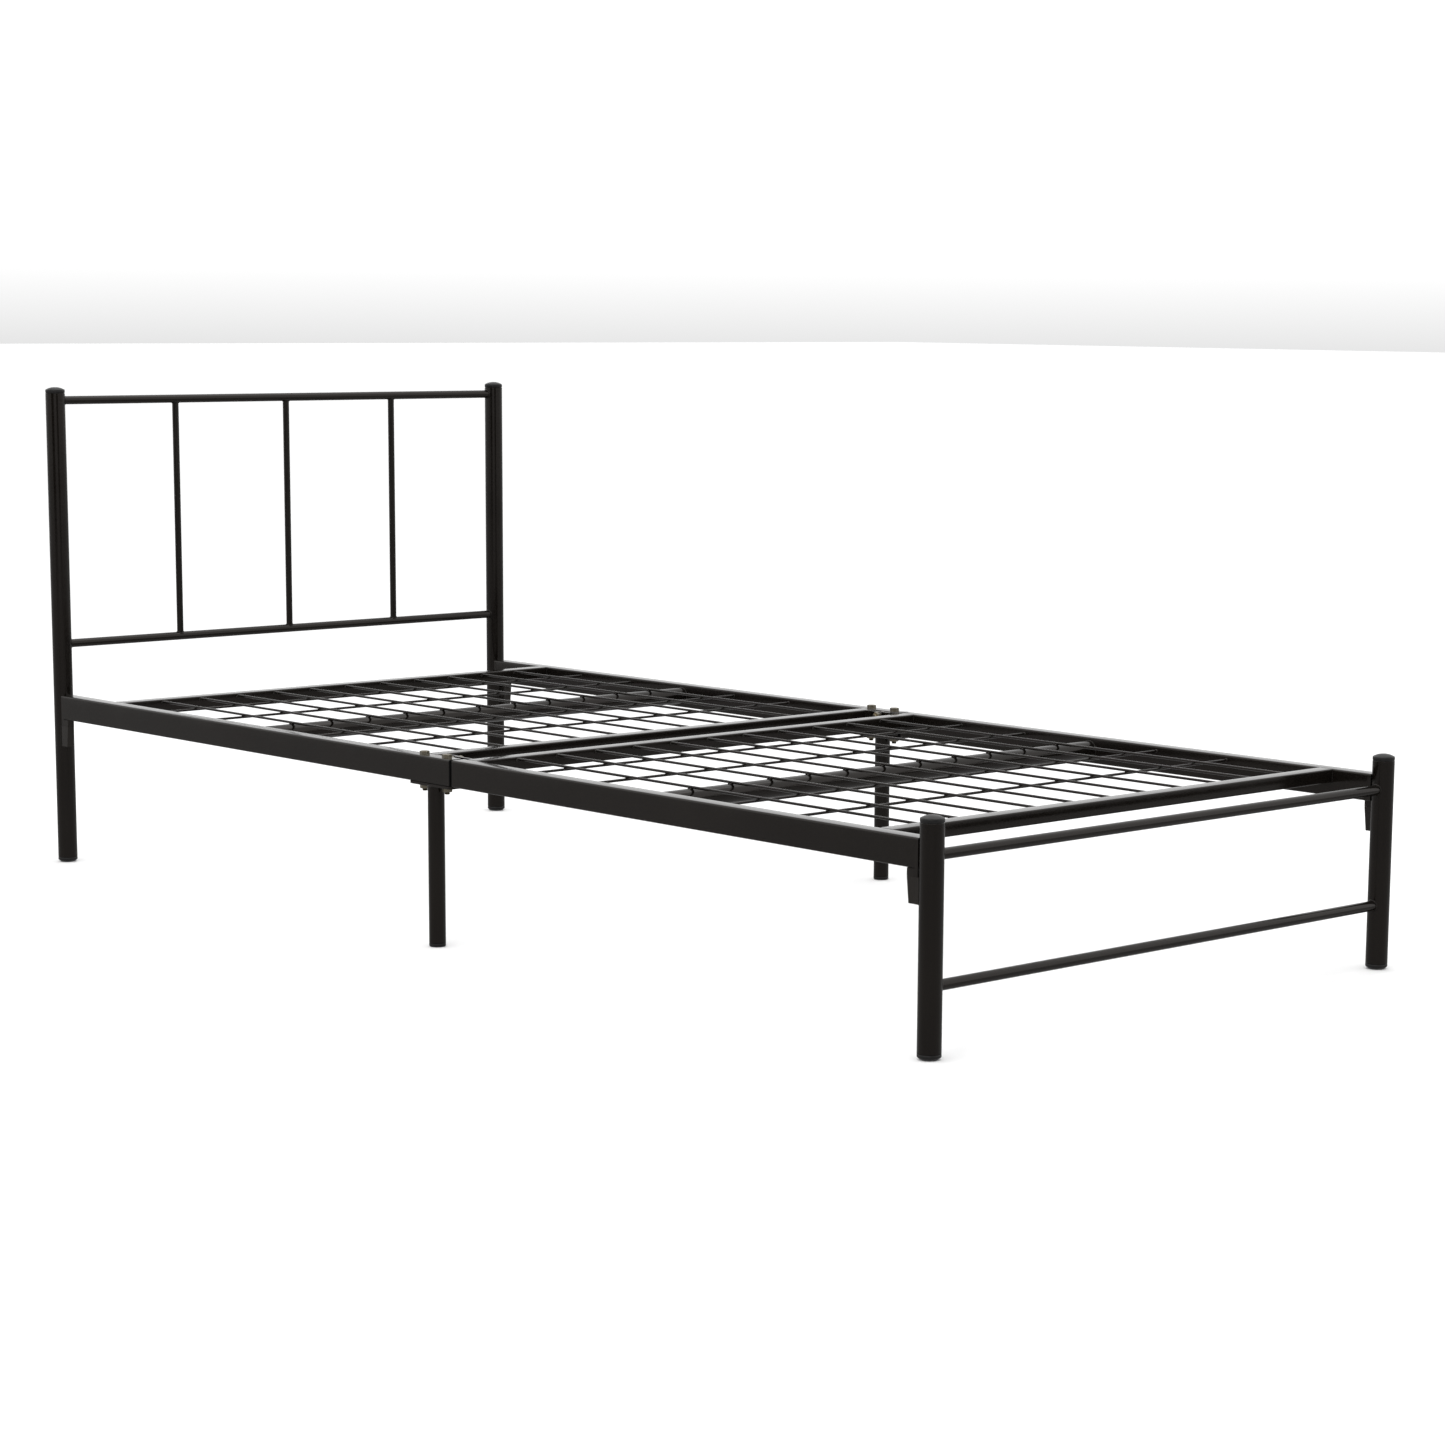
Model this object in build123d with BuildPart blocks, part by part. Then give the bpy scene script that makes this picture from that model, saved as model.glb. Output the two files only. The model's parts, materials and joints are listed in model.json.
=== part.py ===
from build123d import *
import os

# Metal bed frame: headboard, footboard, and a wire deck in two halves on two centre legs.
# Millimetres. +X across the bed, +Y towards the headboard, +Z up, origin on the floor under the centre.

# --- driving dimensions ---------------------------------------------------------------------
POST_X = 462.5          # post and side rail axes, from the bed's centreline
POST_Y = 1032.0         # post axes, from the middle of the bed's length
POST_R = 16.0
POST_WALL = 1.5
HEAD_TOP = 800.0        # top of the caps on the headboard posts
FOOT_TOP = 315.0        # top of the caps on the footboard posts

HEAD_RAIL_R = 7.0
HEAD_RAIL_Z = (778.0, 371.0)
SPINDLE_R = 5.5
SPINDLE_PITCH = 228.0
FOOT_RAIL_R = 7.5
FOOT_RAIL_Z = (263.0, 94.0)
THIN_WALL = 1.2

DECK_TOP = 285.0        # top faces of the side rails and crossbars
RAIL_W = 25.0
RAIL_H = 40.0
RAIL_WALL = 1.5
RAIL_CORNER = 2.5
BAR_W = 25.0            # crossbar width along the bed
BAR_H = 20.0
BAR_WALL = 1.2
BAR_CORNER = 1.8

SPLIT_Y = -55.0         # middle of the gap between the two deck halves
SPLIT_GAP = 2.0
MID_BAR_Y = {"head": 20.5, "foot": -75.5}
END_BAR_Y = {"head": 876.0, "foot": -937.5}
SUPPORT_Y = {"head": 488.0, "foot": -474.0}
SUPPORT_R = 14.0
MESH_STEP_Y = 138.0     # cross wires, with the support bar in the middle one's place
MESH_STEP_X = 75.0
LONG_WIRES = 11
WIRE_R = 2.0
WIRE_Z = 281.7          # axis of the long wires
WIRE_TOUCH = 0.02       # gap left where round wires and the support bar touch

CAP_H = 10.0
CAP_DOME = 3.5          # rise of the spherical top above the cap's rim
CAP_ROUND = 3.0
CAP_STEM = 16.0
PLUG_H = 8.0
PLUG_STEM = 18.0
PLUG_CHAMFER = 3.5

RAIL_END_Y = 1013.0     # tube end of a side rail next to its post
END_PLATE = 6.5         # at the plate's outer edges, which reach past the post's nearest point
RAIL_PLUG = 2.5
RAIL_PLUG_STEM = 12.0

POCKET_FRONT_Y = 1000.0
POCKET_TOP = 234.5
POCKET_BOTTOM = 199.5
POCKET_T = 12.0
POCKET_WALL = 2.0
POCKET_TAPER = 3.5
TONGUE_GAP = 0.4
TONGUE_BOTTOM = 206.0

LEG_R = 12.5
LEG_Y = -4.0
LEG_PLATE_L = 98.0
LEG_PLATE_T = 4.0
LEG_PLATE_CORNER = 4.0
LEG_PLUG_H = 6.0
LEG_PLUG_EDGE = 1.5
LEG_BOLT_STEP = 28.0    # each bolt's distance from the leg's axis
BOLT_R = 4.0
BOLT_HOLE_R = 4.3
HEX_AF = 13.0
HEX_HEAD_H = 5.3
HEX_NUT_H = 6.5
BOLT_PROUD = 3.5        # thread showing past each nut

PIVOT_Y = -22.0
PIVOT_Z = 277.5
PIVOT_EYE_R = 7.5
PIVOT_RUN = 0.06        # radial running clearance of the folding half on its pivot
LUG_X = 434.0           # inboard face of the head half's lug
LUG_T = 4.0
SIDE_GAP = 0.3

SIDES = {"left": -1, "right": 1}
ENDS = {"head": 1, "foot": -1}

rail_bottom = DECK_TOP - RAIL_H
rail_inner_x = POST_X - RAIL_W / 2
rail_outer_x = POST_X + RAIL_W / 2
rail_mid_z = DECK_TOP - RAIL_H / 2
bar_mid_z = DECK_TOP - BAR_H / 2
support_z = WIRE_Z - WIRE_R - WIRE_TOUCH - SUPPORT_R
cross_wire_z = WIRE_Z - 2 * WIRE_R - WIRE_TOUCH
long_wire_xs = [(k - (LONG_WIRES - 1) / 2) * MESH_STEP_X for k in range(LONG_WIRES)]
split_face = {"head": SPLIT_Y + SPLIT_GAP / 2, "foot": SPLIT_Y - SPLIT_GAP / 2}
leg_top = rail_bottom - LEG_PLATE_T
cap_sphere_r = (POST_R**2 + CAP_DOME**2) / (2 * CAP_DOME)

os.makedirs("parts", exist_ok=True)


def save(builder, name):
    builder.part.label = name
    export_step(builder.part, f"parts/{name}.step")


# --- posts, caps and feet -------------------------------------------------------------------
for end, sy in ENDS.items():
    top = (HEAD_TOP if end == "head" else FOOT_TOP) - CAP_H
    for side, sx in SIDES.items():
        with BuildPart() as post:
            with BuildSketch(Plane.XY.offset(PLUG_H)):
                with Locations((sx * POST_X, sy * POST_Y)):
                    Circle(POST_R)
                    Circle(POST_R - POST_WALL, mode=Mode.SUBTRACT)
            extrude(amount=top - PLUG_H)
        save(post, f"{end}_post_{side}")

    with BuildPart() as post_caps:
        for sx in SIDES.values():
            base = Plane(origin=(sx * POST_X, sy * POST_Y, top), x_dir=(1, 0, 0), z_dir=(0, -1, 0))
            with BuildSketch(base):
                with BuildLine():
                    Polyline((0, CAP_H), (0, -CAP_STEM), (POST_R - POST_WALL, -CAP_STEM),
                             (POST_R - POST_WALL, 0), (POST_R, 0), (POST_R, CAP_H - CAP_DOME))
                    RadiusArc((POST_R, CAP_H - CAP_DOME), (0, CAP_H), -cap_sphere_r)
                make_face()
            revolve(axis=Axis((sx * POST_X, sy * POST_Y, 0), (0, 0, 1)))
        rim_z = top + CAP_H - CAP_DOME
        fillet(post_caps.edges().filter_by_position(Axis.Z, rim_z - 0.01, rim_z + 0.01), radius=CAP_ROUND)
    save(post_caps, f"{end}_post_caps")

    with BuildPart() as post_plugs:
        for sx in SIDES.values():
            base = Plane(origin=(sx * POST_X, sy * POST_Y, 0), x_dir=(1, 0, 0), z_dir=(0, -1, 0))
            with BuildSketch(base):
                with BuildLine():
                    Polyline((0, 0), (POST_R - PLUG_CHAMFER, 0), (POST_R, PLUG_CHAMFER), (POST_R, PLUG_H),
                             (POST_R - POST_WALL, PLUG_H), (POST_R - POST_WALL, PLUG_H + PLUG_STEM),
                             (0, PLUG_H + PLUG_STEM), close=True)
                make_face()
            revolve(axis=Axis((sx * POST_X, sy * POST_Y, 0), (0, 0, 1)))
    save(post_plugs, f"{end}_post_plugs")

# --- headboard and footboard rails, coped onto the posts ------------------------------------
BOARD_RAILS = {
    "head_top_rail": (POST_Y, HEAD_RAIL_Z[0], HEAD_RAIL_R),
    "head_lower_rail": (POST_Y, HEAD_RAIL_Z[1], HEAD_RAIL_R),
    "foot_upper_rail": (-POST_Y, FOOT_RAIL_Z[0], FOOT_RAIL_R),
    "foot_lower_rail": (-POST_Y, FOOT_RAIL_Z[1], FOOT_RAIL_R),
}
for name, (y, z, r) in BOARD_RAILS.items():
    with BuildPart() as board_rail:
        with BuildSketch(Plane.YZ.offset(-POST_X)):
            with Locations((y, z)):
                Circle(r)
                Circle(r - THIN_WALL, mode=Mode.SUBTRACT)
        extrude(amount=2 * POST_X)
        with BuildSketch(Plane.XY.offset(z - 2 * r)):
            with Locations((-POST_X, y), (POST_X, y)):
                Circle(POST_R)
        extrude(amount=4 * r, mode=Mode.SUBTRACT)
    save(board_rail, name)

with BuildPart() as head_spindles:
    with BuildSketch(Plane.XY.offset(HEAD_RAIL_Z[1])):
        with Locations(*[(k * SPINDLE_PITCH, POST_Y) for k in (-1, 0, 1)]):
            Circle(SPINDLE_R)
            Circle(SPINDLE_R - THIN_WALL, mode=Mode.SUBTRACT)
    extrude(amount=HEAD_RAIL_Z[0] - HEAD_RAIL_Z[1])
    with BuildSketch(Plane.YZ.offset(-POST_X)):
        with Locations(*[(POST_Y, z) for z in HEAD_RAIL_Z]):
            Circle(HEAD_RAIL_R)
    extrude(amount=2 * POST_X, mode=Mode.SUBTRACT)
save(head_spindles, "head_spindles")

# --- tapered pockets welded on the posts ----------------------------------------------------
for end, sy in ENDS.items():
    with BuildPart() as sockets:
        for sx in SIDES.values():
            outer_x = sx * rail_outer_x
            for grow, mode in ((0.0, Mode.ADD), (POCKET_WALL, Mode.SUBTRACT)):
                # The pocket's side view leans back towards the post as it goes down.
                start = Plane.YZ.offset(outer_x - sx * grow)
                with BuildSketch(start):
                    Polygon((sy * (POCKET_FRONT_Y + grow), POCKET_TOP),
                            (sy * POST_Y, POCKET_TOP),
                            (sy * POST_Y, POCKET_BOTTOM),
                            (sy * (POCKET_FRONT_Y + POCKET_TAPER + grow), POCKET_BOTTOM), align=None)
                extrude(amount=-sx * (POCKET_T - 2 * grow), mode=mode)
        with BuildSketch(Plane.XY.offset(POCKET_BOTTOM)):
            with Locations((-POST_X, sy * POST_Y), (POST_X, sy * POST_Y)):
                Circle(POST_R)
        extrude(amount=POCKET_TOP - POCKET_BOTTOM, mode=Mode.SUBTRACT)
    save(sockets, f"{end}_sockets")

# --- the two deck halves --------------------------------------------------------------------
for end, sy in ENDS.items():
    mid_y = MID_BAR_Y[end]
    end_y = END_BAR_Y[end]
    support_y = SUPPORT_Y[end]
    cross_ys = [support_y + k * MESH_STEP_Y for k in (-2, -1, 1, 2)]
    tube_from = split_face[end] + sy * RAIL_PLUG
    tube_to = sy * RAIL_END_Y
    tube_lo, tube_hi = min(tube_from, tube_to), max(tube_from, tube_to)

    for side, sx in SIDES.items():
        with BuildPart() as side_rail:
            with BuildSketch(Plane.XZ.offset(-tube_hi)):
                with Locations((sx * POST_X, rail_mid_z)):
                    RectangleRounded(RAIL_W, RAIL_H, RAIL_CORNER)
                    RectangleRounded(RAIL_W - 2 * RAIL_WALL, RAIL_H - 2 * RAIL_WALL, RAIL_CORNER - RAIL_WALL,
                                     mode=Mode.SUBTRACT)
            extrude(amount=tube_hi - tube_lo)
            if end == "head":
                with BuildSketch(Plane.XY.offset(rail_bottom)):
                    with Locations(*[(sx * POST_X, LEG_Y + k * LEG_BOLT_STEP) for k in (-1, 1)]):
                        Circle(BOLT_HOLE_R)
                extrude(amount=RAIL_H, mode=Mode.SUBTRACT)
        save(side_rail, f"{end}_side_rail_{side}")

    for name, y in ((f"{end}_mid_crossbar", mid_y), (f"{end}_end_crossbar", end_y)):
        with BuildPart() as crossbar:
            with BuildSketch(Plane.YZ.offset(-rail_inner_x)):
                with Locations((y, bar_mid_z)):
                    RectangleRounded(BAR_W, BAR_H, BAR_CORNER)
                    RectangleRounded(BAR_W - 2 * BAR_WALL, BAR_H - 2 * BAR_WALL, BAR_CORNER - BAR_WALL,
                                     mode=Mode.SUBTRACT)
            extrude(amount=2 * rail_inner_x)
        save(crossbar, name)

    with BuildPart() as support_bar:
        with BuildSketch(Plane.YZ.offset(-rail_inner_x)):
            with Locations((support_y, support_z)):
                Circle(SUPPORT_R)
                Circle(SUPPORT_R - THIN_WALL, mode=Mode.SUBTRACT)
        extrude(amount=2 * rail_inner_x)
    save(support_bar, f"{end}_support_bar")

    wire_faces = sorted((mid_y + sy * BAR_W / 2, end_y - sy * BAR_W / 2))
    with BuildPart() as long_wires:
        with BuildSketch(Plane.XZ.offset(-wire_faces[1])):
            with Locations(*[(x, WIRE_Z) for x in long_wire_xs]):
                Circle(WIRE_R)
        extrude(amount=wire_faces[1] - wire_faces[0])
    save(long_wires, f"{end}_long_wires")

    with BuildPart() as cross_wires:
        with BuildSketch(Plane.YZ.offset(-rail_inner_x)):
            with Locations(*[(y, cross_wire_z) for y in cross_ys]):
                Circle(WIRE_R)
        extrude(amount=2 * rail_inner_x)
    save(cross_wires, f"{end}_cross_wires")

    # End plate coped round the post, shoulder and tapered tongue in one forging per rail.
    with BuildPart() as tongues:
        for sx in SIDES.values():
            with BuildSketch(Plane.XZ.offset(-max(tube_to, tube_to + sy * END_PLATE))):
                with Locations((sx * POST_X, rail_mid_z)):
                    RectangleRounded(RAIL_W, RAIL_H, RAIL_CORNER)
            extrude(amount=END_PLATE)
            back_y = sy * (RAIL_END_Y + END_PLATE)
            with BuildSketch(Plane.YZ.offset(sx * rail_outer_x)):
                Polygon((sy * POCKET_FRONT_Y, POCKET_TOP + SIDE_GAP), (sy * POCKET_FRONT_Y, rail_bottom),
                        (back_y, rail_bottom), (back_y, POCKET_TOP + SIDE_GAP), align=None)
            extrude(amount=-sx * POCKET_T)
            with BuildSketch(Plane.XY.offset(rail_bottom)):
                with Locations((sx * (rail_outer_x - POCKET_T / 2), back_y - sy * END_PLATE / 2)):
                    Rectangle(POCKET_T, END_PLATE)
            extrude(amount=RAIL_CORNER)
            front_top = POCKET_FRONT_Y + POCKET_WALL + TONGUE_GAP
            lean = POCKET_TAPER / (POCKET_TOP - POCKET_BOTTOM)
            front_low = front_top + lean * (POCKET_TOP - TONGUE_BOTTOM)
            with BuildSketch(Plane.YZ.offset(sx * (rail_outer_x - POCKET_WALL - TONGUE_GAP))):
                Polygon((sy * front_top, POCKET_TOP + SIDE_GAP), (back_y, POCKET_TOP + SIDE_GAP),
                        (back_y, TONGUE_BOTTOM), (sy * front_low, TONGUE_BOTTOM), align=None)
            extrude(amount=-sx * (POCKET_T - 2 * POCKET_WALL - 2 * TONGUE_GAP))
        with BuildSketch(Plane.XY.offset(POCKET_BOTTOM)):
            with Locations((-POST_X, sy * POST_Y), (POST_X, sy * POST_Y)):
                Circle(POST_R + TONGUE_GAP)
        extrude(amount=DECK_TOP - POCKET_BOTTOM, mode=Mode.SUBTRACT)
    save(tongues, f"{end}_rail_tongues")

    with BuildPart() as rail_plugs:
        for sx in SIDES.values():
            flange_hi = max(split_face[end], tube_from)
            with BuildSketch(Plane.XZ.offset(-flange_hi)):
                with Locations((sx * POST_X, rail_mid_z)):
                    RectangleRounded(RAIL_W, RAIL_H, RAIL_CORNER)
            extrude(amount=RAIL_PLUG)
            stem_hi = max(tube_from, tube_from + sy * RAIL_PLUG_STEM)
            with BuildSketch(Plane.XZ.offset(-stem_hi)):
                with Locations((sx * POST_X, rail_mid_z)):
                    RectangleRounded(RAIL_W - 2 * RAIL_WALL, RAIL_H - 2 * RAIL_WALL, RAIL_CORNER - RAIL_WALL)
            extrude(amount=RAIL_PLUG_STEM)
    save(rail_plugs, f"{end}_rail_plugs")

# --- centre legs under the head half's side rails ---------------------------------------------
for side, sx in SIDES.items():
    with BuildPart() as leg:
        with BuildSketch(Plane.XY.offset(LEG_PLUG_H)):
            with Locations((sx * POST_X, LEG_Y)):
                Circle(LEG_R)
                Circle(LEG_R - THIN_WALL, mode=Mode.SUBTRACT)
        extrude(amount=leg_top - LEG_PLUG_H)
    save(leg, f"centre_leg_{side}")

leg_bolt_xy = [(sx * POST_X, LEG_Y + k * LEG_BOLT_STEP) for sx in (-1, 1) for k in (-1, 1)]

with BuildPart() as leg_plates:
    with BuildSketch(Plane.XY.offset(leg_top)):
        with Locations((-POST_X, LEG_Y), (POST_X, LEG_Y)):
            RectangleRounded(RAIL_W, LEG_PLATE_L, LEG_PLATE_CORNER)
        with Locations(*leg_bolt_xy):
            Circle(BOLT_HOLE_R, mode=Mode.SUBTRACT)
    extrude(amount=LEG_PLATE_T)
save(leg_plates, "centre_leg_plates")

with BuildPart() as leg_plugs:
    for sx in SIDES.values():
        base = Plane(origin=(sx * POST_X, LEG_Y, 0), x_dir=(1, 0, 0), z_dir=(0, -1, 0))
        with BuildSketch(base):
            with BuildLine():
                Polyline((0, LEG_PLUG_H + PLUG_STEM), (0, 0), (LEG_R - LEG_PLUG_EDGE, 0))
                RadiusArc((LEG_R - LEG_PLUG_EDGE, 0), (LEG_R, LEG_PLUG_EDGE), -LEG_PLUG_EDGE)
                Polyline((LEG_R, LEG_PLUG_EDGE), (LEG_R, LEG_PLUG_H), (LEG_R - THIN_WALL, LEG_PLUG_H),
                         (LEG_R - THIN_WALL, LEG_PLUG_H + PLUG_STEM), (0, LEG_PLUG_H + PLUG_STEM))
            make_face()
        revolve(axis=Axis((sx * POST_X, LEG_Y, 0), (0, 0, 1)))
save(leg_plugs, "centre_leg_plugs")

bolt_tip = leg_top - HEX_NUT_H - BOLT_PROUD
with BuildPart() as leg_bolts:
    with BuildSketch(Plane.XY.offset(bolt_tip)):
        with Locations(*leg_bolt_xy):
            Circle(BOLT_R)
    extrude(amount=DECK_TOP - bolt_tip)
    with BuildSketch(Plane.XY.offset(DECK_TOP)):
        with Locations(*leg_bolt_xy):
            RegularPolygon(HEX_AF / 2, 6, major_radius=False)
    extrude(amount=HEX_HEAD_H)
save(leg_bolts, "centre_leg_bolts")

with BuildPart() as leg_nuts:
    with BuildSketch(Plane.XY.offset(leg_top - HEX_NUT_H)):
        with Locations(*leg_bolt_xy):
            RegularPolygon(HEX_AF / 2, 6, major_radius=False)
            Circle(BOLT_R, mode=Mode.SUBTRACT)
    extrude(amount=HEX_NUT_H)
save(leg_nuts, "centre_leg_nuts")

# --- folding joint between the halves ---------------------------------------------------------
head_face = MID_BAR_Y["head"] - BAR_W / 2
foot_face = MID_BAR_Y["foot"] + BAR_W / 2
arm_x = LUG_X + LUG_T + SIDE_GAP
LINKS = {
    "hinge_lugs": (LUG_X, head_face, BOLT_R),
    "hinge_arms": (arm_x, foot_face, BOLT_R + PIVOT_RUN),
}
for name, (inner_x, root_y, bore_r) in LINKS.items():
    with BuildPart() as links:
        for sx in SIDES.values():
            with BuildSketch(Plane.YZ.offset(sx * inner_x)):
                with Locations((PIVOT_Y, PIVOT_Z)):
                    Circle(PIVOT_EYE_R)
                with Locations(((PIVOT_Y + root_y) / 2, PIVOT_Z)):
                    Rectangle(abs(root_y - PIVOT_Y), 2 * PIVOT_EYE_R)
                with Locations((PIVOT_Y, PIVOT_Z)):
                    Circle(bore_r, mode=Mode.SUBTRACT)
            extrude(amount=sx * LUG_T)
    save(links, name)

bolt_seat_x = arm_x + LUG_T + SIDE_GAP
with BuildPart() as hinge_bolts:
    for sx in SIDES.values():
        with BuildSketch(Plane.YZ.offset(sx * bolt_seat_x)):
            with Locations((PIVOT_Y, PIVOT_Z)):
                Circle(BOLT_R)
        extrude(amount=-sx * (bolt_seat_x - LUG_X + HEX_NUT_H + BOLT_PROUD))
        with BuildSketch(Plane.YZ.offset(sx * bolt_seat_x)):
            with Locations((PIVOT_Y, PIVOT_Z)):
                RegularPolygon(HEX_AF / 2, 6, major_radius=False)
        extrude(amount=sx * HEX_HEAD_H)
save(hinge_bolts, "hinge_bolts")

with BuildPart() as hinge_nuts:
    for sx in SIDES.values():
        with BuildSketch(Plane.YZ.offset(sx * LUG_X)):
            with Locations((PIVOT_Y, PIVOT_Z)):
                RegularPolygon(HEX_AF / 2, 6, major_radius=False)
                Circle(BOLT_R, mode=Mode.SUBTRACT)
        extrude(amount=-sx * HEX_NUT_H)
save(hinge_nuts, "hinge_nuts")
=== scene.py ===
import bmesh
import bpy
import json
import math
from mathutils import Matrix, Vector, noise


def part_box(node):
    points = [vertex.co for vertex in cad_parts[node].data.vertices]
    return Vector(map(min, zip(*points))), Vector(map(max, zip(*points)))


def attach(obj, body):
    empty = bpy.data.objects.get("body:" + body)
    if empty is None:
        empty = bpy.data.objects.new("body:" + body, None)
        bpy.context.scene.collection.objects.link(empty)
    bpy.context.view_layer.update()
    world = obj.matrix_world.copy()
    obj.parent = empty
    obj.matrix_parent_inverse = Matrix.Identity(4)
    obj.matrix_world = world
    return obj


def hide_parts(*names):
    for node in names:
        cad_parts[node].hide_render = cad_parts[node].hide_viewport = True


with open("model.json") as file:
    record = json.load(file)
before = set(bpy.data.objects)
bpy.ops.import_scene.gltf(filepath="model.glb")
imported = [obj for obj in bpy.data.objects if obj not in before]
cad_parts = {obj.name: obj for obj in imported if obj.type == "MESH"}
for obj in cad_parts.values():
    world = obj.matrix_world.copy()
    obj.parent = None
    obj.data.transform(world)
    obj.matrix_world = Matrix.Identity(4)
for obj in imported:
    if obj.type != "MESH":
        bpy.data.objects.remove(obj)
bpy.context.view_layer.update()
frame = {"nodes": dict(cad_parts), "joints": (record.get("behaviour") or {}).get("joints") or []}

# Everything below is in metres. Places come from the CAD nodes' boxes; these are the shared sizes.
MM = 0.001
X, Y, Z = Vector((1, 0, 0)), Vector((0, 1, 0)), Vector((0, 0, 1))
SIDES = (-1, 1)
WIRE_R = 2 * MM
RAIL_CORNER = 2.5 * MM
BAR_CORNER = 1.8 * MM
LONG_WIRES = 11
CROSS_STEP = 138 * MM
HEX_AF = 13 * MM
BOLT_R = 4 * MM
THREAD_PITCH = 1.25 * MM


# --- materials --------------------------------------------------------------------------------
class Nodes:
    """A material's node tree with short calls for making and joining nodes."""

    def __init__(self, name):
        self.material = bpy.data.materials.new(name)
        self.material.use_nodes = True
        self.tree = self.material.node_tree
        self.shader = self.tree.nodes["Principled BSDF"]
        self.place = self.add("ShaderNodeTexCoord").outputs["Object"]

    def add(self, kind, settings=(), **inputs):
        made = self.tree.nodes.new(kind)
        for key, value in dict(settings).items():
            setattr(made, key, value)
        for key, value in inputs.items():
            self.put(made.inputs[key.replace("_", " ")], value)
        return made

    def put(self, socket, value):
        if isinstance(value, bpy.types.NodeSocket):
            self.tree.links.new(value, socket)
        else:
            socket.default_value = value

    def noise(self, scale, detail=3.0):
        made = self.add("ShaderNodeTexNoise", Scale=scale, Detail=detail, Roughness=0.55)
        self.put(made.inputs["Vector"], self.place)
        return made.outputs["Fac"]

    def span(self, value, low, high, from_low=0.3, from_high=0.7):
        made = self.add("ShaderNodeMapRange", Value=value)
        limits = (("From Min", from_low), ("From Max", from_high), ("To Min", low), ("To Max", high))
        for key, number in limits:
            made.inputs[key].default_value = number
        return made.outputs["Result"]

    def blend(self, factor, first, second):
        made = self.add("ShaderNodeMix", {"data_type": "RGBA"})
        self.put(made.inputs["Factor"], factor)
        for index, colour in ((6, first), (7, second)):
            self.put(made.inputs[index], colour if isinstance(colour, bpy.types.NodeSocket) else (*colour, 1))
        return made.outputs[2]

    def edge(self, start=0.57, end=0.72):
        """1 along convex edges, where a coat is thinnest and handling rubs it."""
        point = self.add("ShaderNodeNewGeometry").outputs["Pointiness"]
        return self.span(point, 0.0, 1.0, start, end)

    def bump(self, *layers):
        normal = None
        for height, distance, strength in layers:
            made = self.add("ShaderNodeBump", Height=height, Distance=distance, Strength=strength)
            if normal:
                self.put(made.inputs["Normal"], normal)
            normal = made.outputs["Normal"]
        self.put(self.shader.inputs["Normal"], normal)

    def set(self, **inputs):
        for key, value in inputs.items():
            self.put(self.shader.inputs[key.replace("_", " ")], value)
        return self.material


def powder_coat(name, gloss, peel):
    """Baked black powder: orange peel, slow tone drift, a few dust nibs, paler rubbed edges."""
    n = Nodes(name)
    drift = n.span(n.noise(6.0), 0.0, 1.0)
    tone = n.blend(drift, (0.0024, 0.0018, 0.0014), (0.0042, 0.0033, 0.0026))
    dust = n.span(n.noise(420.0, 2.0), 0.0, 0.3, 0.66, 0.8)
    tone = n.blend(dust, tone, (0.015, 0.0135, 0.012))
    n.set(Base_Color=n.blend(n.edge(), tone, (0.014, 0.0125, 0.011)))
    smear = n.span(n.noise(14.0, 5.0), -0.04, 0.05)
    rough = n.add("ShaderNodeMath", {"operation": "ADD"})
    n.put(rough.inputs[0], smear)
    n.put(rough.inputs[1], n.span(n.noise(260.0), gloss - 0.03, gloss + 0.05))
    n.bump((n.noise(330.0, 1.0), 0.0006, peel), (n.noise(1500.0, 2.0), 0.0001, peel * 0.6))
    return n.set(Roughness=rough.outputs[0], Specular_IOR_Level=0.3,
                 Specular_Tint=(1, 0.93, 0.88, 1), IOR=1.5)


def moulded_plastic(name):
    """Black polyethylene with a spark-eroded grain and scuffed rims."""
    n = Nodes(name)
    drift = n.span(n.noise(35.0), 0.0, 1.0)
    tone = n.blend(drift, (0.004, 0.0038, 0.0038), (0.007, 0.0066, 0.0066))
    scuff = n.add("ShaderNodeMath", {"operation": "MULTIPLY"})
    n.put(scuff.inputs[0], n.edge(0.53, 0.66))
    n.put(scuff.inputs[1], n.noise(240.0))
    n.set(Base_Color=n.blend(scuff.outputs[0], tone, (0.045, 0.043, 0.042)))
    grain = n.add("ShaderNodeTexVoronoi", Scale=1700.0, Vector=n.place).outputs["Distance"]
    n.bump((grain, 0.0001, 0.35), (n.noise(120.0), 0.0003, 0.12))
    return n.set(Roughness=n.span(n.noise(190.0), 0.3, 0.42), Specular_IOR_Level=0.25, IOR=1.49)


def plug_black_painted_gap_shade(name):
    """Matt black polyethylene of the plugs in the rail ends, with a fine grain; kept darker and less glossy
    than the other plastic as painted shade of the gap at the rail split.
    """
    n = Nodes(name)
    grain = n.add("ShaderNodeTexVoronoi", Scale=1500.0, Vector=n.place).outputs["Distance"]
    drift = n.span(n.noise(60.0), 0.0, 1.0)
    # Near-black base: partly the plugs' own black, partly painted shade of the rail split gap.
    n.set(Base_Color=n.blend(drift, (0.0012, 0.0012, 0.0012), (0.0026, 0.0025, 0.0025)))
    n.bump((grain, 0.0001, 0.4))
    return n.set(Roughness=n.span(n.noise(190.0), 0.5, 0.65), Specular_IOR_Level=0.04, IOR=1.49)


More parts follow.
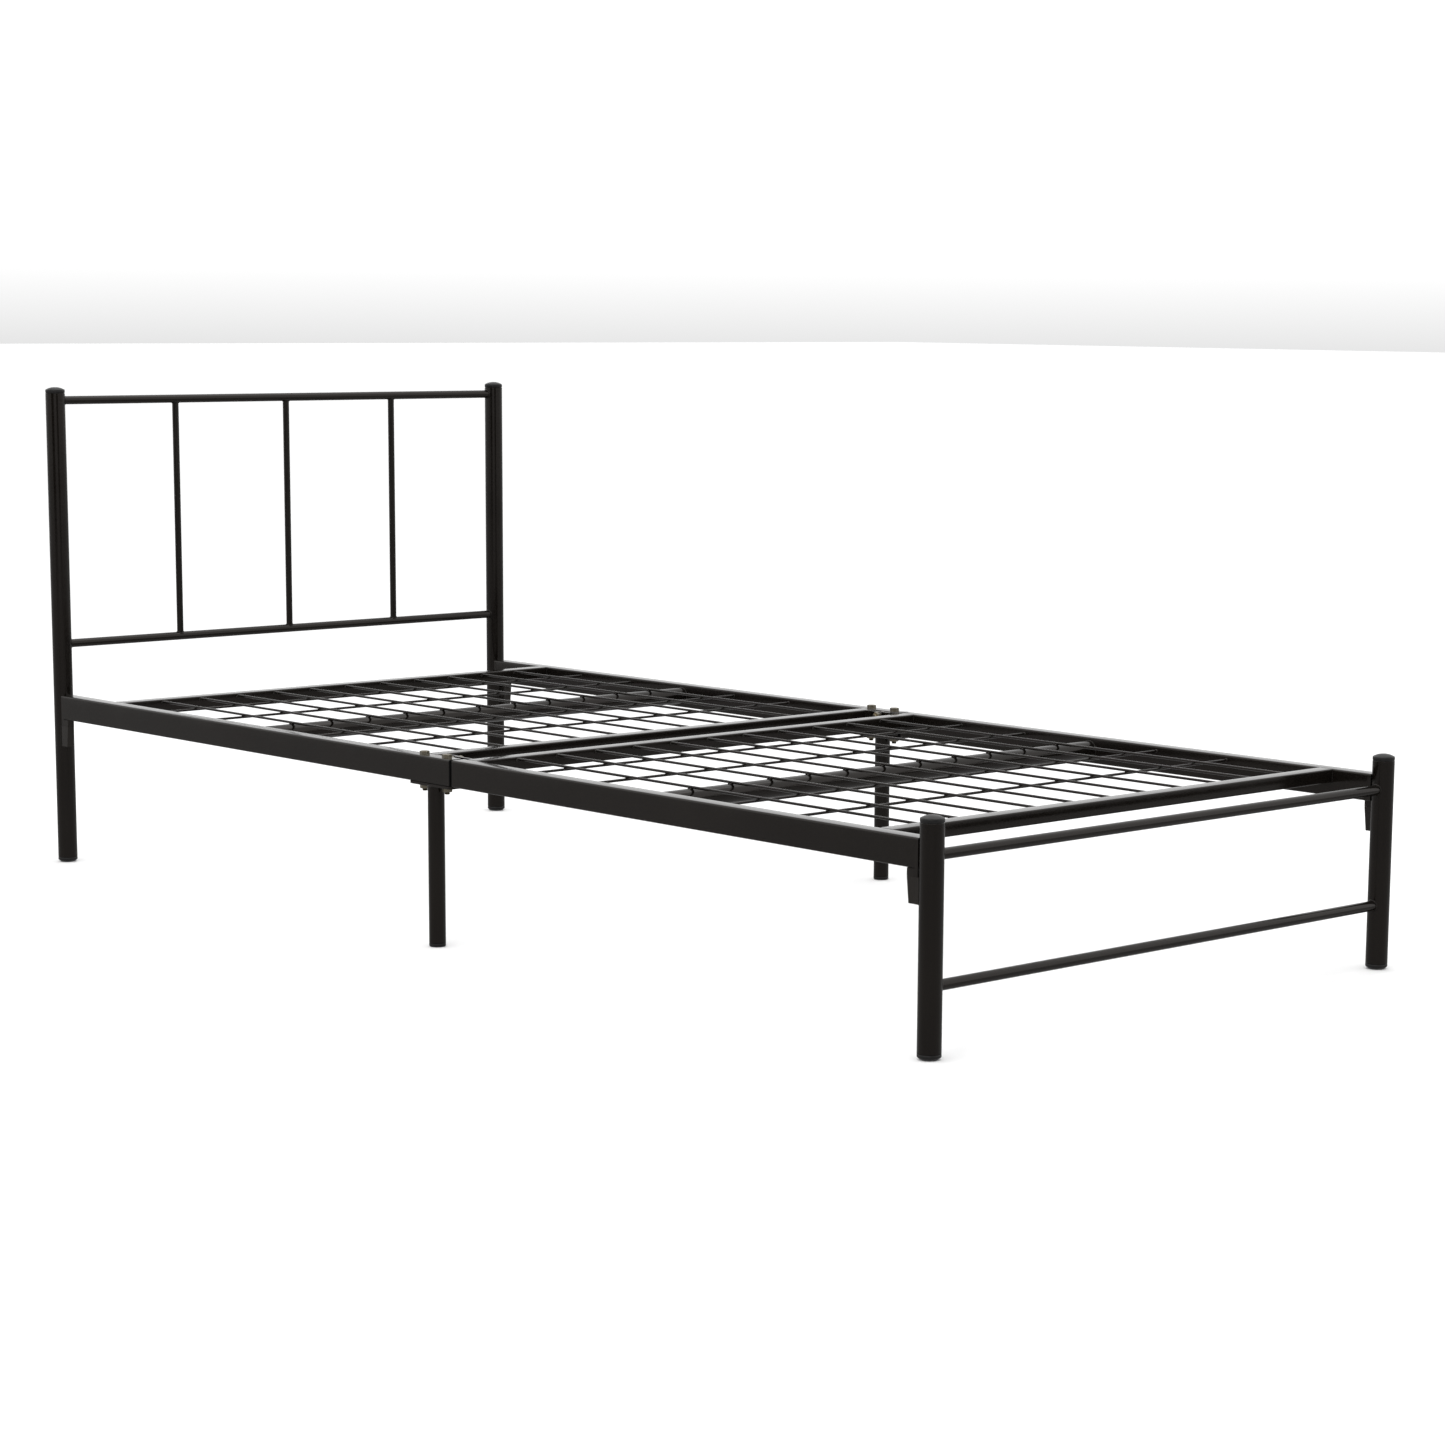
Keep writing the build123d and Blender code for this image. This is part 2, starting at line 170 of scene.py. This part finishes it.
def yellow_zinc(name):
    """Chromated zinc on cold-headed steel: straw yellow with green and rose bloom, bright worn edges."""
    n = Nodes(name)
    bloom = n.span(n.noise(260.0, 4.0), 0.0, 1.0)
    tone = n.blend(bloom, (0.13, 0.095, 0.045), (0.1, 0.095, 0.06))
    rose = n.span(n.noise(420.0, 3.0), 0.0, 0.5, 0.5, 0.72)
    tone = n.blend(rose, tone, (0.14, 0.085, 0.06))
    n.set(Base_Color=n.blend(n.edge(0.53, 0.62), tone, (0.24, 0.225, 0.19)))
    n.bump((n.noise(900.0, 4.0), 0.0001, 0.3))
    return n.set(Metallic=1.0, Roughness=n.span(n.noise(600.0, 4.0), 0.26, 0.46))


def pale_floor(name):
    n = Nodes(name)
    n.set(Base_Color=n.blend(n.span(n.noise(1.5), 0.0, 1.0), (0.93, 0.93, 0.93), (0.95, 0.95, 0.95)))
    n.bump((n.noise(60.0), 0.0002, 0.05))
    return n.set(Roughness=0.9, Specular_IOR_Level=0.0)


coat = powder_coat("black_powder_coat_gloss", 0.13, 0.08)
weld_coat = powder_coat("black_powder_coat_over_weld", 0.27, 0.3)
plastic = moulded_plastic("black_moulded_plastic")
plug_material_painted_gap_shade = plug_black_painted_gap_shade("black_split_plug_painted_gap_shade")
zinc = yellow_zinc("yellow_zinc_plate")


# --- mesh helpers -----------------------------------------------------------------------------
def piece(name, bm, material, body, *nodes):
    """One finished mesh that rides on a body and stands for CAD nodes."""
    bmesh.ops.recalc_face_normals(bm, faces=bm.faces)
    mesh = bpy.data.meshes.new(name)
    bm.to_mesh(mesh)
    bm.free()
    mesh.shade_smooth()
    mesh.set_sharp_from_angle(angle=math.radians(38))
    mesh.materials.append(material)
    made = bpy.data.objects.new(name, mesh)
    bpy.context.scene.collection.objects.link(made)
    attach(made, body)
    if nodes:
        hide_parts(*nodes)
    return made


def skin(bm, rings, closed=False):
    """Joins equal rings of points with quads; open runs get end faces."""
    made = [[bm.verts.new(p) for p in ring] for ring in rings]
    count = len(made[0])
    pairs = list(zip(made, made[1:])) + ([(made[-1], made[0])] if closed else [])
    for a, b in pairs:
        for i in range(count):
            j = (i + 1) % count
            bm.faces.new((a[i], a[j], b[j], b[i]))
    if not closed:
        bm.faces.new(made[0])
        bm.faces.new(made[-1])


def ring(centre, u, v, radius, count):
    return [centre + radius * (math.cos(t) * u + math.sin(t) * v)
            for t in (2 * math.pi * i / count for i in range(count))]


def round_bar(bm, start, end, radius, count=64, edge=0.0):
    """A straight round tube; edge rounds its two ends."""
    t = (end - start).normalized()
    u = t.orthogonal().normalized()
    v = t.cross(u)
    steps = [(start, radius), (end, radius)]
    if edge:
        steps = [(start, radius - edge), (start + edge * t, radius),
                 (end - edge * t, radius), (end, radius - edge)]
    skin(bm, [ring(p, u, v, r, count) for p, r in steps])


def rounded_rectangle(centre, u, v, width, height, corner, steps=6):
    points = []
    for su, sv, turn in ((1, 1, 0), (-1, 1, 1), (-1, -1, 2), (1, -1, 3)):
        middle = centre + su * (width / 2 - corner) * u + sv * (height / 2 - corner) * v
        for i in range(steps + 1):
            t = math.pi / 2 * (turn + i / steps)
            points.append(middle + corner * (math.cos(t) * u + math.sin(t) * v))
    return points


def box_bar(bm, lo, hi, along, corner):
    """A straight bar of rounded rectangular section that fills a box."""
    middle = (lo + hi) / 2
    u, v = (Y, Z) if along == X else (X, Z)
    size = hi - lo
    half = size.dot(along) / 2 * along
    rings = [rounded_rectangle(middle + s * half, u, v, size.dot(u), size.dot(v), corner) for s in (-1, 1)]
    skin(bm, rings)


def lathe(bm, foot, profile, count=72, up=Z):
    """Turns (radius, height) pairs about an axis; the first and last radii close to small discs."""
    u = up.orthogonal().normalized()
    v = up.cross(u)
    skin(bm, [ring(foot + h * up, u, v, max(r, 0.00005), count) for r, h in profile])


def hexagon(bm, foot, up, height, both_ends=False, count=72):
    """A hexagon across HEX_AF with 30 degree chamfered corners on its top, or on both ends."""
    u = up.orthogonal().normalized()
    v = up.cross(u)
    flat = HEX_AF / 2
    angles = [2 * math.pi * i / count for i in range(count)]
    radii = [flat / math.cos((t + math.pi / 6) % (math.pi / 3) - math.pi / 6) for t in angles]
    drop = [(r - flat * 0.96) * math.tan(math.radians(30)) for r in radii]

    def level(factor, heights):
        return [foot + r * factor * (math.cos(t) * u + math.sin(t) * v) + h * up
                for t, r, h in zip(angles, radii, heights)]

    bevelled = [ring(foot + height * up, u, v, flat * 0.94, count)]
    top = level(1, [height - d for d in drop])
    base = level(1, drop) if both_ends else level(1, [0.0] * count)
    under = [ring(foot, u, v, flat * 0.94, count)] if both_ends else []
    skin(bm, under + [base, top] + bevelled)


def thread(bm, start, along, length, radius, count=40):
    """A shank end cut with thread ridges and a chamfered tip."""
    u = along.orthogonal().normalized()
    v = along.cross(u)
    turns = int(length / THREAD_PITCH * 2)
    steps = [(i * THREAD_PITCH / 2, radius - (i % 2) * 0.55 * MM) for i in range(turns)]
    steps.append((length, radius - 0.8 * MM))
    skin(bm, [ring(start + h * along, u, v, r, count) for h, r in steps])


def sweep(bm, points, side, radius, count=14):
    """A round wire along points that lie in one plane; side is that plane's normal."""
    rings = []
    for i, p in enumerate(points):
        t = (points[min(i + 1, len(points) - 1)] - points[max(i - 1, 0)]).normalized()
        rings.append(ring(p, side, t.cross(side), radius, count))
    skin(bm, rings)


def bead(bm, points, radius, closed=True, pitch=2.4 * MM):
    """A weld bead: a round run with the ripples that each drop of filler leaves."""
    count = len(points)
    rings = []
    travelled = 0.0
    for i, p in enumerate(points):
        after = points[(i + 1) % count] if closed else points[min(i + 1, count - 1)]
        before = points[i - 1] if closed else points[max(i - 1, 0)]
        t = (after - before).normalized()
        travelled += (p - before).length if i else 0.0
        u = t.orthogonal().normalized()
        ripple = 0.1 * math.sin(2 * math.pi * travelled / pitch) + 0.22 * noise.noise(p * 260)
        rings.append(ring(p, u, t.cross(u), radius * (1 + ripple), 10))
    skin(bm, rings, closed)


def resample(points, step):
    """The same closed loop with points one step apart."""
    out = []
    for a, b in zip(points, points[1:] + points[:1]):
        parts = max(1, round((b - a).length / step))
        out += [a.lerp(b, i / parts) for i in range(parts)]
    return out


def nugget(bm, centre, size):
    """A small uneven lump of spot weld."""
    made = bmesh.ops.create_icosphere(bm, subdivisions=2, radius=1.0)["verts"]
    for vert in made:
        lump = 1 + 0.22 * noise.noise(vert.co * 1.3 + centre * 900)
        vert.co = centre + Vector(c * s * lump for c, s in zip(vert.co, size))


def saddle(centre, along, tube_r, post_r, across, lift=0.0, count=72):
    """Where a tube running along one axis meets a round post or rail whose axis is `across`."""
    third = along.cross(across)
    points = []
    for i in range(count):
        t = 2 * math.pi * i / count
        a, b = (tube_r + lift) * math.cos(t), (tube_r + lift) * math.sin(t)
        points.append(centre + a * across + b * third + math.sqrt((post_r + lift) ** 2 - b * b) * along)
    return points


def middle(node):
    lo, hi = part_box(node)
    return (lo + hi) / 2


# --- headboard and footboard ------------------------------------------------------------------
CAP_H = 10 * MM
PLUG_H = 8 * MM
post_r = (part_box("head_post_left")[1].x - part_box("head_post_left")[0].x) / 2
BOARDS = {"head": ("headboard", ("head_top_rail", "head_lower_rail")),
          "foot": ("footboard", ("foot_upper_rail", "foot_lower_rail"))}

for end, (body, rails) in BOARDS.items():
    posts = [middle(f"{end}_post_{side}") for side in ("left", "right")]
    post_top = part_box(f"{end}_post_left")[1].z
    welds = bmesh.new()
    caps = bmesh.new()
    feet = bmesh.new()
    for side, place in zip(("left", "right"), posts):
        bm = bmesh.new()
        low_end = Vector((place.x, place.y, PLUG_H))
        round_bar(bm, low_end, Vector((place.x, place.y, post_top)), post_r, 96, 0.3 * MM)
        piece(f"{end}_post_{side}_tube", bm, coat, body, f"{end}_post_{side}")
        dome = [(post_r * math.sin(a), CAP_H - 3.5 * MM * (1 - math.cos(a / math.radians(62) * math.pi / 2)))
                for a in (math.radians(62) * (1 - i / 9) for i in range(9))]
        rim = [(post_r - 1.6 * MM, -1 * MM), (post_r - 0.9 * MM, 0.0), (post_r - 0.9 * MM, 0.5 * MM),
               (post_r - 0.25 * MM, 0.7 * MM), (post_r, 1.2 * MM), (post_r, CAP_H - 5.2 * MM),
               (post_r * 0.985, CAP_H - 4.4 * MM), (post_r * 0.95, CAP_H - 3.85 * MM)]
        lathe(caps, Vector((place.x, place.y, post_top)), rim + dome[1:] + [(0.0, CAP_H)], 96)
        lathe(feet, Vector((place.x, place.y, 0.0)),
              [(post_r - 5.5 * MM, 0.0), (post_r - 3.9 * MM, 0.3 * MM), (post_r - 0.4 * MM, 3.3 * MM),
               (post_r, 4.2 * MM), (post_r, PLUG_H - 0.8 * MM), (post_r - 0.3 * MM, PLUG_H - 0.4 * MM),
               (post_r - 1 * MM, PLUG_H - 0.3 * MM), (post_r - 1 * MM, PLUG_H + 1 * MM)], 96)
    piece(f"{end}_domed_caps", caps, plastic, body, f"{end}_post_caps")
    piece(f"{end}_post_feet", feet, plastic, body, f"{end}_post_plugs")

    for name in rails:
        lo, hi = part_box(name)
        centre, radius = (lo + hi) / 2, (hi.z - lo.z) / 2
        bm = bmesh.new()
        tips = [Vector((p.x, centre.y, centre.z)) for p in posts]
        inward = (post_r - 3 * MM) * X
        round_bar(bm, tips[0] + inward, tips[1] - inward, radius)
        piece(f"{name}_tube", bm, coat, body, name)
        for sx, tip in zip(SIDES, tips):
            bead(welds, saddle(tip, -sx * X, radius, post_r, Z, 0.3 * MM), 1.3 * MM)

    if end == "head":
        lo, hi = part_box("head_spindles")
        rail_r = (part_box(rails[0])[1].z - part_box(rails[0])[0].z) / 2
        spindle_r = (hi.y - lo.y) / 2
        ends_z = [middle(name).z for name in rails]
        rail_y = middle(rails[0]).y
        bm = bmesh.new()
        for x in (lo.x + spindle_r, (lo.x + hi.x) / 2, hi.x - spindle_r):
            round_bar(bm, Vector((x, rail_y, ends_z[1])), Vector((x, rail_y, ends_z[0])), spindle_r)
            for z, up in ((ends_z[0], -Z), (ends_z[1], Z)):
                bead(welds, saddle(Vector((x, rail_y, z)), up, spindle_r, rail_r, X, 0.2 * MM), 1 * MM)
        piece("head_spindle_tubes", bm, coat, body, "head_spindles")

    lo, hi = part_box(f"{end}_sockets")
    for place, sx in zip(posts, SIDES):
        for x in (sx * hi.x, sx * (hi.x - 12 * MM)):
            off = x - place.x
            y = place.y - math.copysign(math.sqrt(post_r ** 2 - off * off), place.y)
            run = [Vector((x, y, lo.z + (hi.z - lo.z) * i / 30)) for i in range(31)]
            bead(welds, run, 1.1 * MM, closed=False)
    piece(f"{end}board_welds", welds, weld_coat, body)

# --- the two deck halves ----------------------------------------------------------------------
pivot = Vector(frame["joints"][0]["pos_m"])
for end, sy in (("head", 1), ("foot", -1)):
    body = f"{end}_deck"
    welds = bmesh.new()
    for side in ("left", "right"):
        bm = bmesh.new()
        node = f"{end}_side_rail_{side}"
        box_bar(bm, *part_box(node), Y, RAIL_CORNER)
        piece(f"{node}_tube", bm, coat, body, node)
    inner_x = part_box(f"{end}_mid_crossbar")[1].x
    for name in (f"{end}_mid_crossbar", f"{end}_end_crossbar"):
        lo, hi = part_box(name)
        bm = bmesh.new()
        box_bar(bm, lo, hi, X, BAR_CORNER)
        piece(f"{name}_tube", bm, coat, body, name)
        for sx in SIDES:
            outline = rounded_rectangle(Vector((sx * inner_x, (lo.y + hi.y) / 2, (lo.z + hi.z) / 2)), Y, Z,
                                        hi.y - lo.y, hi.z - lo.z, BAR_CORNER)
            run = [p for p in resample(outline, 1 * MM) if p.z < hi.z - 1.6 * MM]
            start = max(range(len(run)), key=lambda i: (run[i] - run[i - 1]).length)
            bead(welds, run[start:] + run[:start], 1.2 * MM, closed=False)

    support = middle(f"{end}_support_bar")
    support_r = (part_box(f"{end}_support_bar")[1].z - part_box(f"{end}_support_bar")[0].z) / 2
    bm = bmesh.new()
    support_ends = [Vector((sx * inner_x, support.y, support.z)) for sx in SIDES]
    round_bar(bm, *support_ends, support_r)
    piece(f"{end}_support_bar_tube", bm, coat, body, f"{end}_support_bar")
    for tip in support_ends:
        bead(welds, ring(tip, Y, Z, support_r + 0.2 * MM, 90), 1.2 * MM)

    lo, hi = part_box(f"{end}_long_wires")
    wire_z = (lo.z + hi.z) / 2
    xs = [lo.x + WIRE_R + (hi.x - lo.x - 2 * WIRE_R) * k / (LONG_WIRES - 1) for k in range(LONG_WIRES)]
    bm = bmesh.new()
    for x in xs:
        sweep(bm, [Vector((x, lo.y + (hi.y - lo.y) * i / 24, wire_z)) for i in range(25)], X, WIRE_R)
        for y, face in ((lo.y, 1), (hi.y, -1)):
            nugget(welds, Vector((x, y + face * 0.6 * MM, wire_z - 0.5 * MM)), (3.4 * MM, 1.8 * MM, 2.3 * MM))
            nugget(welds, Vector((x - 2.6 * MM, y + face * 0.4 * MM, wire_z - 2.2 * MM)),
                   (1.7 * MM, 1.2 * MM, 1.4 * MM))
        nugget(welds, Vector((x, support.y, wire_z - WIRE_R)), (4.2 * MM, 3.6 * MM, 1.5 * MM))
        nugget(welds, Vector((x - 3.4 * MM, support.y + 1.5 * MM, wire_z - 1.2 * MM)),
               (1.5 * MM, 1.2 * MM, 1.9 * MM))
    piece(f"{end}_mesh_long_wires", bm, coat, body, f"{end}_long_wires")

    bm = bmesh.new()
    cross_z = middle(f"{end}_cross_wires").z
    for y in (support.y + k * CROSS_STEP for k in (-2, -1, 1, 2)):
        sweep(bm, [Vector((inner_x * (i / 12 - 1), y, cross_z)) for i in range(25)], Y, WIRE_R)
        for sx in SIDES:
            nugget(welds, Vector((sx * (inner_x - 0.6 * MM), y, cross_z)), (1.4 * MM, 3.2 * MM, 3.0 * MM))
        for x in xs:
            nugget(welds, Vector((x, y, cross_z + WIRE_R)), (2.6 * MM, 2.6 * MM, 1.1 * MM))
    piece(f"{end}_mesh_cross_wires", bm, coat, body, f"{end}_cross_wires")

    node = "hinge_lugs" if end == "head" else "hinge_arms"
    lo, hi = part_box(node)
    eye_r = (hi.z - lo.z) / 2
    root_y = hi.y if end == "head" else lo.y
    bm = bmesh.new()
    for sx in SIDES:
        outer = sx * hi.x
        rings = []
        for grow, step in ((-0.5, 0.0), (0.0, 0.5), (0.0, 3.5), (-0.5, 4.0)):
            x = outer - sx * step * MM
            r = eye_r + grow * MM
            arc = [Vector((x, pivot.y - sy * r * math.cos(a), pivot.z + r * math.sin(a)))
                   for a in (math.pi * (i / 24 - 0.5) for i in range(25))]
            rings.append(arc + [Vector((x, root_y, pivot.z + r)), Vector((x, root_y, pivot.z - r))])
        skin(bm, rings)
        weld_y = root_y - sy * 0.3 * MM
        for dx in (0.4, 3.6):
            x = outer - sx * dx * MM
            run = [Vector((x, weld_y, pivot.z - eye_r + 2 * eye_r * i / 14)) for i in range(15)]
            bead(welds, run, 1 * MM, closed=False)
    piece(f"{node}_plates", bm, coat, body, node)

    if end == "head":
        shoes = bmesh.new()
        for side in ("left", "right"):
            lo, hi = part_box(f"centre_leg_{side}")
            place = (lo + hi) / 2
            leg_r = (hi.x - lo.x) / 2
            bm = bmesh.new()
            leg_top = Vector((place.x, place.y, hi.z))
            round_bar(bm, Vector((place.x, place.y, lo.z)), leg_top, leg_r, 96, 0.3 * MM)
            piece(f"centre_leg_{side}_tube", bm, coat, body, f"centre_leg_{side}")
            bead(welds, ring(leg_top, X, Y, leg_r, 90), 1.5 * MM)
            lathe(shoes, Vector((place.x, place.y, 0)),
                  [(leg_r - 3 * MM, 0.0), (leg_r - 1.5 * MM, 0.2 * MM), (leg_r - 0.4 * MM, 0.7 * MM),
                   (leg_r, 1.8 * MM), (leg_r, lo.z - 0.6 * MM), (leg_r - 0.3 * MM, lo.z - 0.3 * MM),
                   (leg_r - 1 * MM, lo.z - 0.2 * MM), (leg_r - 1 * MM, lo.z + 1 * MM)])
        piece("centre_leg_feet", shoes, plastic, body, "centre_leg_plugs")
    piece(f"{end}_deck_welds", welds, weld_coat, body)

# --- fasteners --------------------------------------------------------------------------------
lo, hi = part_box("centre_leg_bolts")
nut_lo, nut_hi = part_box("centre_leg_nuts")
deck_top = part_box("head_side_rail_left")[1].z
bolts, nuts = bmesh.new(), bmesh.new()
for sx in SIDES:
    rail_x = middle("head_side_rail_right").x * sx
    for y in (nut_lo.y + HEX_AF / math.sqrt(3), nut_hi.y - HEX_AF / math.sqrt(3)):
        hexagon(bolts, Vector((rail_x, y, deck_top)), Z, hi.z - deck_top)
        thread(bolts, Vector((rail_x, y, nut_lo.z + 1 * MM)), -Z, nut_lo.z + 1 * MM - lo.z, BOLT_R)
        hexagon(nuts, Vector((rail_x, y, nut_lo.z)), Z, nut_hi.z - nut_lo.z, both_ends=True)
piece("centre_leg_hex_bolts", bolts, zinc, "head_deck", "centre_leg_bolts")
piece("centre_leg_hex_nuts", nuts, zinc, "head_deck", "centre_leg_nuts")

lo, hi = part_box("hinge_bolts")
nut_lo, nut_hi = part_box("hinge_nuts")
bolts, nuts = bmesh.new(), bmesh.new()
HEAD_H = 5.3 * MM
NUT_H = 6.5 * MM
for sx in SIDES:
    seat = Vector((sx * (hi.x - HEAD_H), pivot.y, pivot.z))
    hexagon(bolts, seat, sx * X, HEAD_H)
    lug_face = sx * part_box("hinge_lugs")[1].x - sx * 4 * MM
    round_bar(bolts, seat, Vector((lug_face, pivot.y, pivot.z)), BOLT_R, 40)
    start = Vector((lug_face - sx * (NUT_H - 1 * MM), pivot.y, pivot.z))
    thread(bolts, start, -sx * X, 1 * MM + 3.5 * MM, BOLT_R)
    hexagon(nuts, Vector((lug_face, pivot.y, pivot.z)), -sx * X, NUT_H, both_ends=True)
piece("hinge_hex_bolts", bolts, zinc, "head_deck", "hinge_bolts")
piece("hinge_hex_nuts", nuts, zinc, "head_deck", "hinge_nuts")

# --- CAD nodes that stay, with their finish and a broken edge -----------------------------------
KEPT = {"head_sockets": (coat, 0.7), "foot_sockets": (coat, 0.7), "head_rail_tongues": (coat, 0.6),
        "foot_rail_tongues": (coat, 0.6), "centre_leg_plates": (coat, 0.6),
        "head_rail_plugs": (plug_material_painted_gap_shade, 0.3), "foot_rail_plugs": (plug_material_painted_gap_shade, 0.3)}
for name, (material, width) in KEPT.items():
    node = frame["nodes"][name]
    node.data.materials.clear()
    node.data.materials.append(material)
    for face in node.data.polygons:
        face.material_index = 0
    bevel = node.modifiers.new("broken_edge", "BEVEL")
    bevel.width = width * MM
    bevel.segments = 2
    bevel.limit_method = "ANGLE"
    bevel.angle_limit = math.radians(40)

# --- studio -----------------------------------------------------------------------------------
bm = bmesh.new()
bmesh.ops.create_grid(bm, x_segments=24, y_segments=24, size=60)
floor_mesh = bpy.data.meshes.new("studio_floor")
bm.to_mesh(floor_mesh)
bm.free()
floor_mesh.materials.append(pale_floor("pale_floor"))
floor = bpy.data.objects.new("studio_floor", floor_mesh)
floor.location.z = -0.2 * MM
bpy.context.scene.collection.objects.link(floor)
floor.visible_glossy = False  # so faces that look down mirror the darker lower half of the sky

world = bpy.data.worlds.new("studio")
world.use_nodes = True
sky = world.node_tree
height = sky.nodes.new("ShaderNodeSeparateXYZ")
sky.links.new(sky.nodes.new("ShaderNodeTexCoord").outputs["Generated"], height.inputs[0])
horizon = sky.nodes.new("ShaderNodeMapRange")
sky.links.new(height.outputs["Z"], horizon.inputs["Value"])
for key, number in (("From Min", -0.05), ("From Max", 0.02), ("To Min", 0.42), ("To Max", 1.12)):
    horizon.inputs[key].default_value = number
sky.links.new(horizon.outputs["Result"], sky.nodes["Background"].inputs["Strength"])
sky.nodes["Background"].inputs["Color"].default_value = (1, 1, 1, 1)
bpy.context.scene.world = world


def soft_light(name, place, target, size, power):
    lamp = bpy.data.lights.new(name, "AREA")
    lamp.shape = "RECTANGLE"
    lamp.size, lamp.size_y = size
    lamp.energy = power
    made = bpy.data.objects.new(name, lamp)
    made.location = place
    made.rotation_euler = (Vector(target) - Vector(place)).to_track_quat("-Z", "Y").to_euler()
    bpy.context.scene.collection.objects.link(made)


soft_light("overhead", (0.3, 0.2, 4.2), (0, 0, 0), (4.5, 4.5), 60)
soft_light("left_front", (-4.5, -1.5, 2.6), (0, 0, 0.3), (2.5, 1.8), 40)

# Dark flags beside the camera, seen only by reflections, put the dark streaks of a studio into the gloss.
FLAG_REACH, FLAG_FOOT, FLAG_HEIGHT = 6.6, 0.1, 2.3
flag_paint = Nodes("flag_black")
flag_paint.set(Base_Color=(0.01, 0.01, 0.01, 1), Roughness=0.9)
for name, bearing, width in (("flag_left", 196, 2.6), ("flag_right", 254, 3.4)):
    turn = math.radians(bearing)
    outward = Vector((math.sin(turn), math.cos(turn), 0))
    across = Vector((outward.y, -outward.x, 0))
    bm = bmesh.new()
    corners = [outward * FLAG_REACH + across * (width / 2 * a) + Z * (FLAG_FOOT + FLAG_HEIGHT * b)
               for a, b in ((-1, 0), (1, 0), (1, 1), (-1, 1))]
    bm.faces.new([bm.verts.new(p) for p in corners])
    mesh = bpy.data.meshes.new(name)
    bm.to_mesh(mesh)
    bm.free()
    mesh.materials.append(flag_paint.material)
    flag = bpy.data.objects.new(name, mesh)
    flag.visible_camera = flag.visible_diffuse = flag.visible_shadow = False
    bpy.context.scene.collection.objects.link(flag)

# --- camera -----------------------------------------------------------------------------------
IMAGE = 1445
FOCAL_PX, CENTRE_X, CENTRE_Y = 3418.8, 806.5, 879.4
YAW, PITCH, ROLL = math.radians(43.365), math.radians(9.547), math.radians(0.477)
forward = Vector((math.sin(YAW) * math.cos(PITCH), math.cos(YAW) * math.cos(PITCH), -math.sin(PITCH)))
level_right = Vector((math.cos(YAW), -math.sin(YAW), 0))
level_up = level_right.cross(forward)
right = math.cos(ROLL) * level_right + math.sin(ROLL) * level_up
up = math.cos(ROLL) * level_up - math.sin(ROLL) * level_right
camera = bpy.data.objects.new("camera", bpy.data.cameras.new("camera"))
turned = Matrix((right, up, -forward)).transposed().to_4x4()
camera.matrix_world = Matrix.Translation((-3.4973, -4.0153, 0.9461)) @ turned
camera.data.sensor_fit = "HORIZONTAL"
camera.data.sensor_width = 36
camera.data.lens = FOCAL_PX / IMAGE * 36
camera.data.shift_x = (IMAGE / 2 - CENTRE_X) / IMAGE
camera.data.shift_y = (CENTRE_Y - IMAGE / 2) / IMAGE
camera.data.clip_end = 200
bpy.context.scene.collection.objects.link(camera)
bpy.context.scene.camera = camera
bpy.context.scene.view_settings.view_transform = "Standard"
